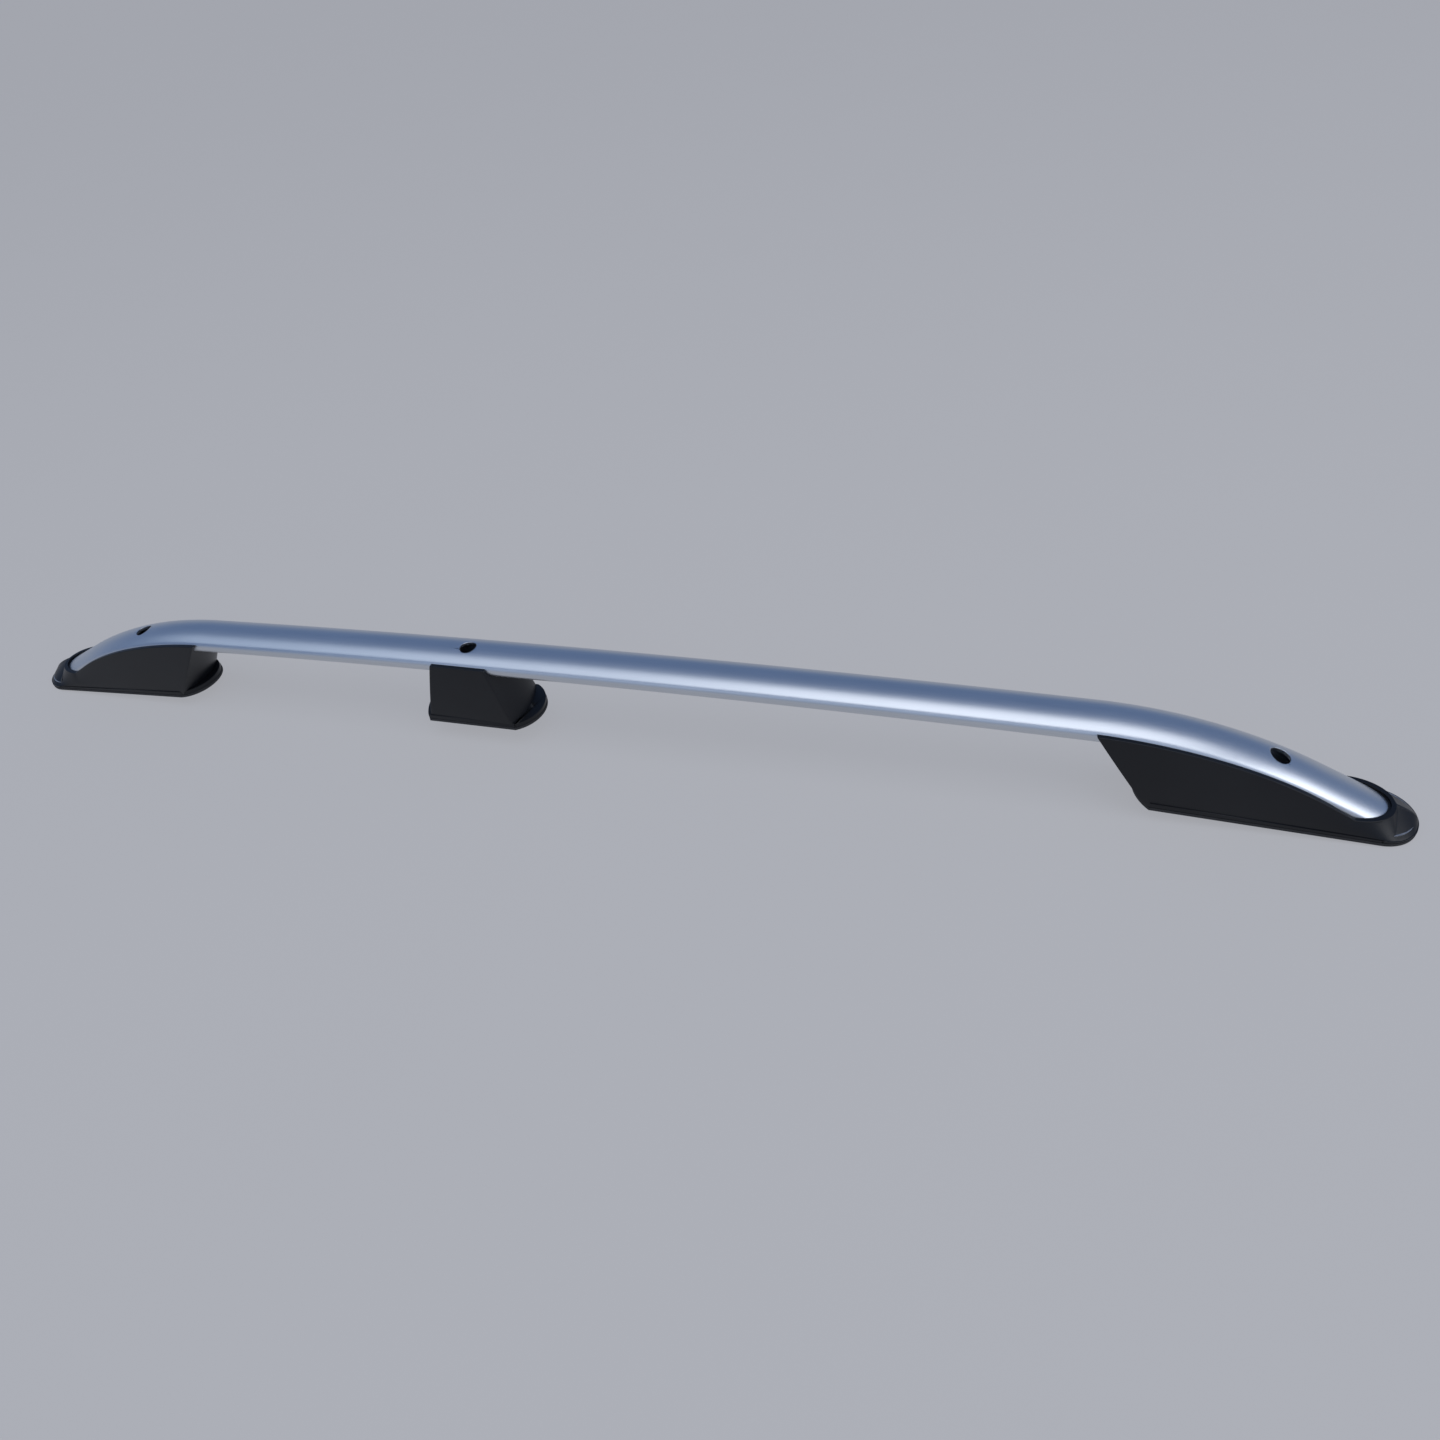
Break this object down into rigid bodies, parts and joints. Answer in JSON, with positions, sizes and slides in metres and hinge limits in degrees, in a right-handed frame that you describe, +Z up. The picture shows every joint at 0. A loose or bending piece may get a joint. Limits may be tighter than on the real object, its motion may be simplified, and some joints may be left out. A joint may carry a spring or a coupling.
{
  "type": "roof rail",
  "caption": "Raised longitudinal roof rail: an arched oval tube whose bent ends sit in moulded feet, with a further foot between them and bolt access holes over the feet.",
  "frame": {"origin": "middle of the rail's length and width, at the level of the noses of the end feet, which are the lowest points", "axes": "+X along the rail to the foot whose bolt sits further out, +Y across the rail, +Z up"},
  "size_m": [1.5174, 0.0668, 0.1049],
  "materials": {
    "anodised_tube": "satin",
    "moulded_cover": "fine texture",
    "cast_bracket": "cast",
    "steel_sleeve": "zinc plated",
    "steel_screw": "zinc plated",
    "bolt_seal": "matt",
    "base_gasket": "matt"
  },
  "bodies": {
    "root": {"rail_tube": "anodised_tube", "rear_cover": "moulded_cover", "rear_bracket": "cast_bracket", "rear_sleeve": "steel_sleeve", "rear_seal": "bolt_seal", "rear_gasket": "base_gasket", "rear_tube_screws": "steel_screw", "rear_cover_screws": "steel_screw", "middle_cover": "moulded_cover", "middle_bracket": "cast_bracket", "middle_sleeve": "steel_sleeve", "middle_seal": "bolt_seal", "middle_gasket": "base_gasket", "middle_tube_screws": "steel_screw", "middle_cover_screws": "steel_screw", "front_cover": "moulded_cover", "front_bracket": "cast_bracket", "front_sleeve": "steel_sleeve", "front_seal": "bolt_seal", "front_gasket": "base_gasket", "front_tube_screws": "steel_screw", "front_cover_screws": "steel_screw"}
  },
  "joints": []
}
